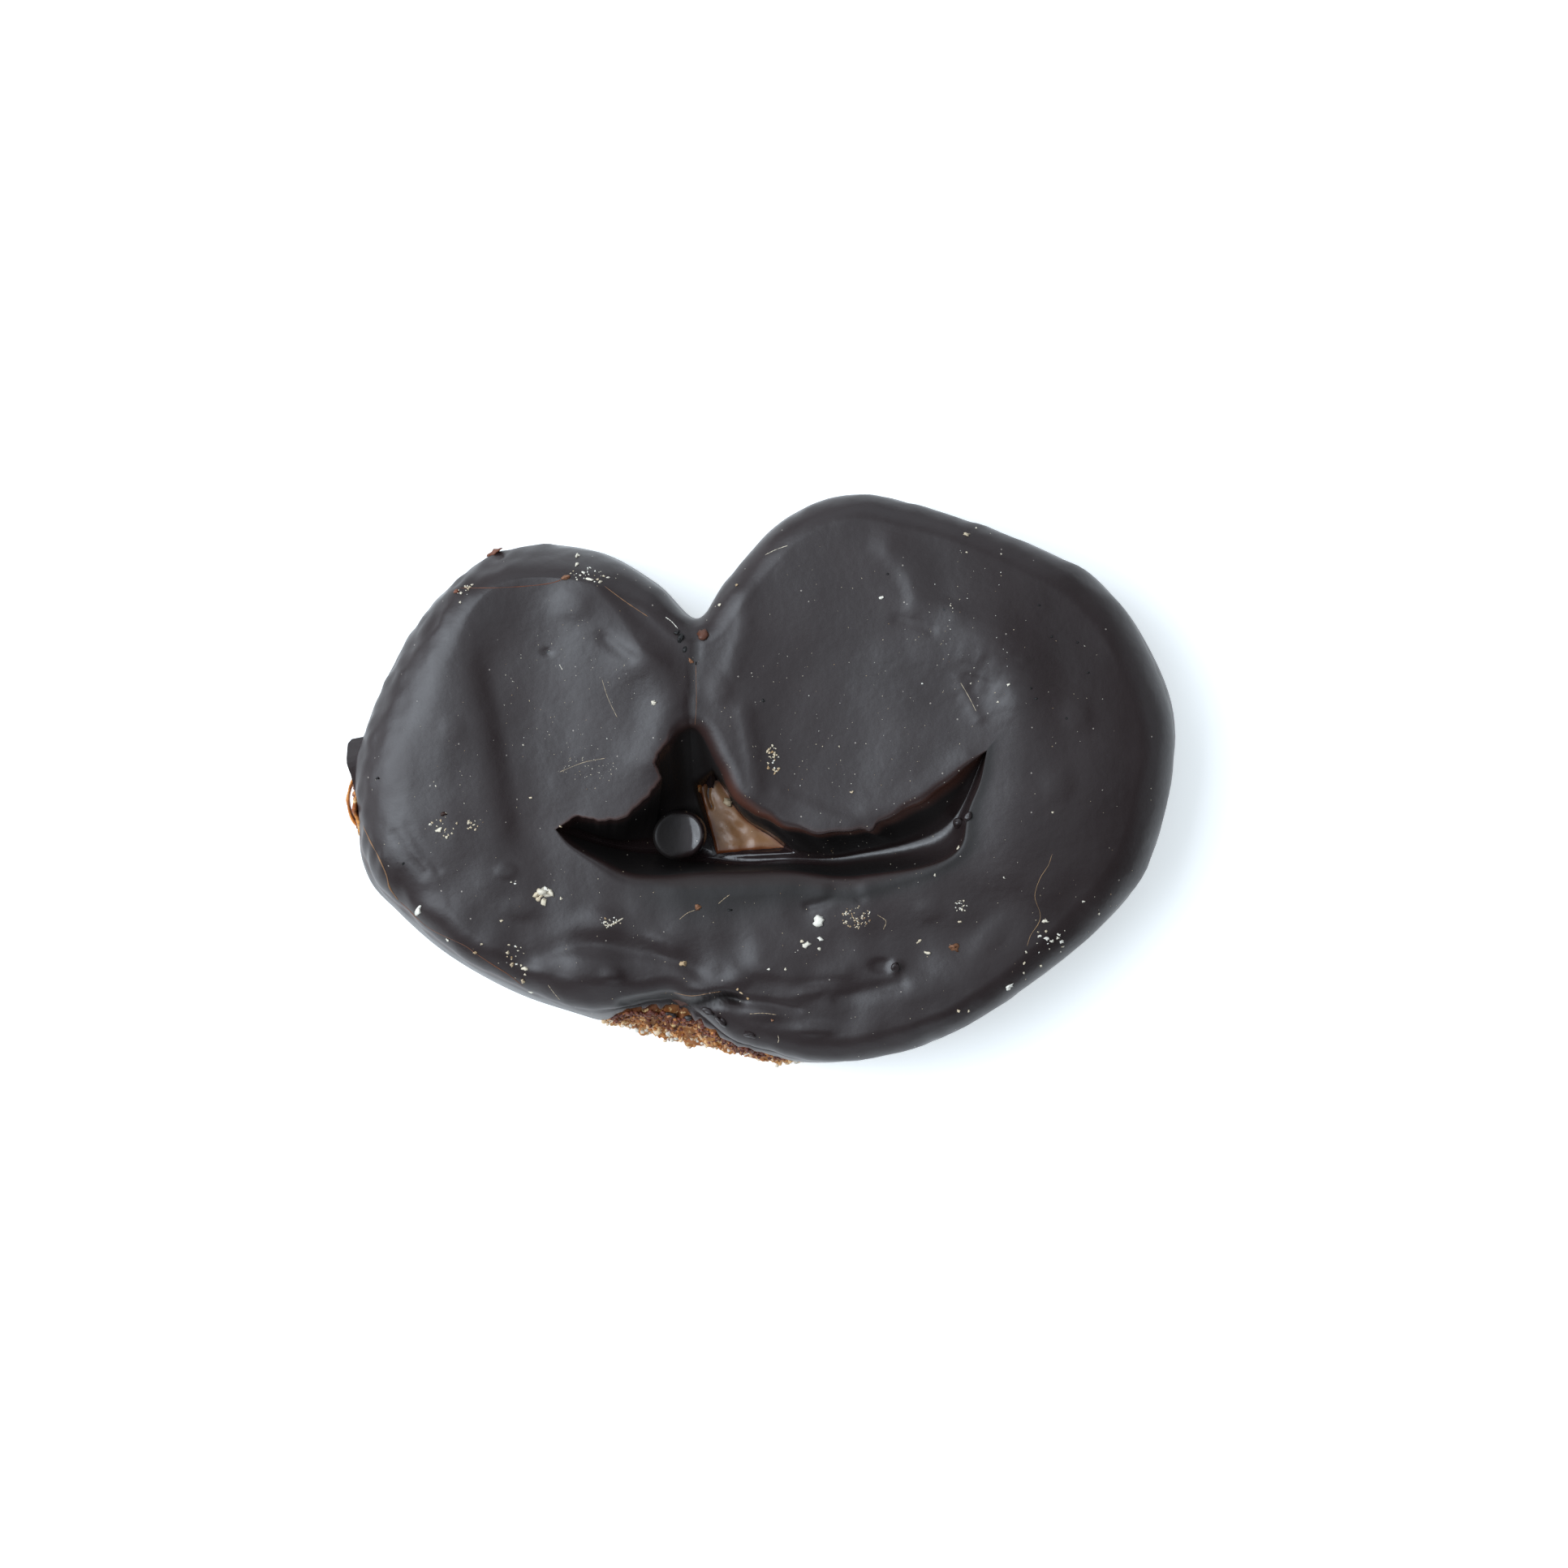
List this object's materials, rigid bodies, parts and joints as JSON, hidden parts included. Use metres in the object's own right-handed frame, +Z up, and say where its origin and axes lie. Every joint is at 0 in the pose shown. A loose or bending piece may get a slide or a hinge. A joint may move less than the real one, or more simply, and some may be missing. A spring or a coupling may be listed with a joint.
{
  "type": "chocolate-coated palmier pastry",
  "caption": "Double-rolled puff pastry slice with a curved slit between its two rolls, coated in set dark chocolate that leaves small patches of bare crust.",
  "frame": {"origin": "on the table, under the middle of the pastry's outline", "axes": "+Z up from the table through the flat slice, +X along its length towards the larger roll, +Y towards the cleft between the two rolls"},
  "size_m": [0.1093, 0.0743, 0.0182],
  "materials": {
    "puff_pastry": "baked laminated dough, golden brown and dry, with sugar set on its surface",
    "dark_chocolate": "set dark chocolate, near black, with a soft satin sheen"
  },
  "bodies": {
    "root": {"puff_pastry": "puff_pastry", "chocolate_coat": "dark_chocolate"}
  },
  "joints": []
}
